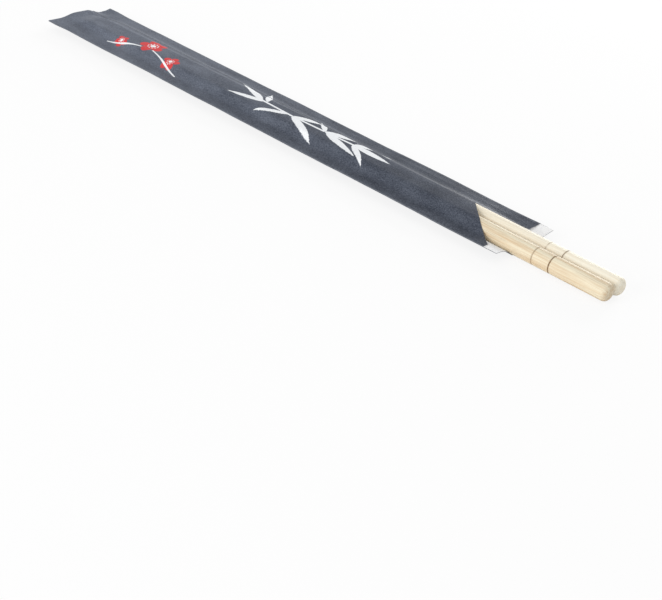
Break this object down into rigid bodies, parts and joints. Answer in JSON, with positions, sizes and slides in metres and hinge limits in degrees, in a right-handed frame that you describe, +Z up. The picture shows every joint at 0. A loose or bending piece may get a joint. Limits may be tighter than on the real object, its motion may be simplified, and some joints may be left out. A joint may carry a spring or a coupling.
{
  "type": "chopsticks in a paper sleeve",
  "caption": "Round tapered bamboo chopsticks with thin ring grooves near the handle ends, tucked in a long folded paper sleeve with a slanting open mouth and a white inside.",
  "frame": {"origin": "centre of the whole object's footprint, on the surface it rests on", "axes": "+X along the sticks towards the handle ends and the sleeve's open mouth, +Y across the sleeve towards its seam strip, +Z up out of the printed front panel"},
  "size_m": [0.24, 0.028, 0.0059],
  "materials": {
    "sleeve_paper": "matte uncoated paper, dark slate grey outside with a plain printed spray, white inside",
    "bamboo": "plain sanded bamboo, pale cream with fine fibre streaks"
  },
  "bodies": {
    "root": {"paper_sleeve": "sleeve_paper", "left_chopstick": "bamboo", "right_chopstick": "bamboo"}
  },
  "joints": []
}
